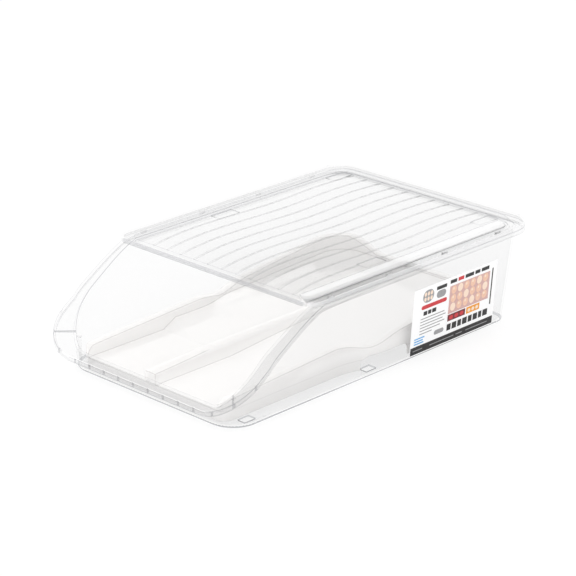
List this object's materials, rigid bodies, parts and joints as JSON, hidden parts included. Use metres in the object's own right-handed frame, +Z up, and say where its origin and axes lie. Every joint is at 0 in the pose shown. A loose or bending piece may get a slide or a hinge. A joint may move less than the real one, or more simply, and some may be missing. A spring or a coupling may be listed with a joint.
{
  "type": "egg holder",
  "caption": "Clear open-front refrigerator bin with a lift-off ribbed lid and a milky insert whose lanes roll eggs forward to the low front lip.",
  "frame": {"origin": "on the ground under the middle of the object's bounding box", "axes": "+Z up, -Y towards the open front where the eggs are taken out, +X towards the side with the label"},
  "size_m": [0.25, 0.3965, 0.103],
  "materials": {
    "clear_bin": "clear injection-moulded polystyrene, polished",
    "clear_lid": "clear injection-moulded polystyrene, polished, with wavy ribs",
    "milky_ramp": "milky translucent moulded polypropylene, satin",
    "label_film": null
  },
  "bodies": {
    "bin": {"bin_body": "clear_bin", "side_label": "label_film"},
    "lid": {"lid": "clear_lid"},
    "ramp": {"egg_ramp": "milky_ramp"}
  },
  "joints": [
    {"name": "lid_lift", "type": "slide", "parent": "bin", "child": "lid", "axis": [0, 0, 1], "range_m": [0, 0.3]},
    {"name": "ramp_lift", "type": "slide", "parent": "bin", "child": "ramp", "axis": [0, 0, 1], "range_m": [0, 0.135]}
  ],
  "couplings": [
    {"joint": "ramp_lift", "follows": "lid_lift", "ratio": 0.45}
  ]
}
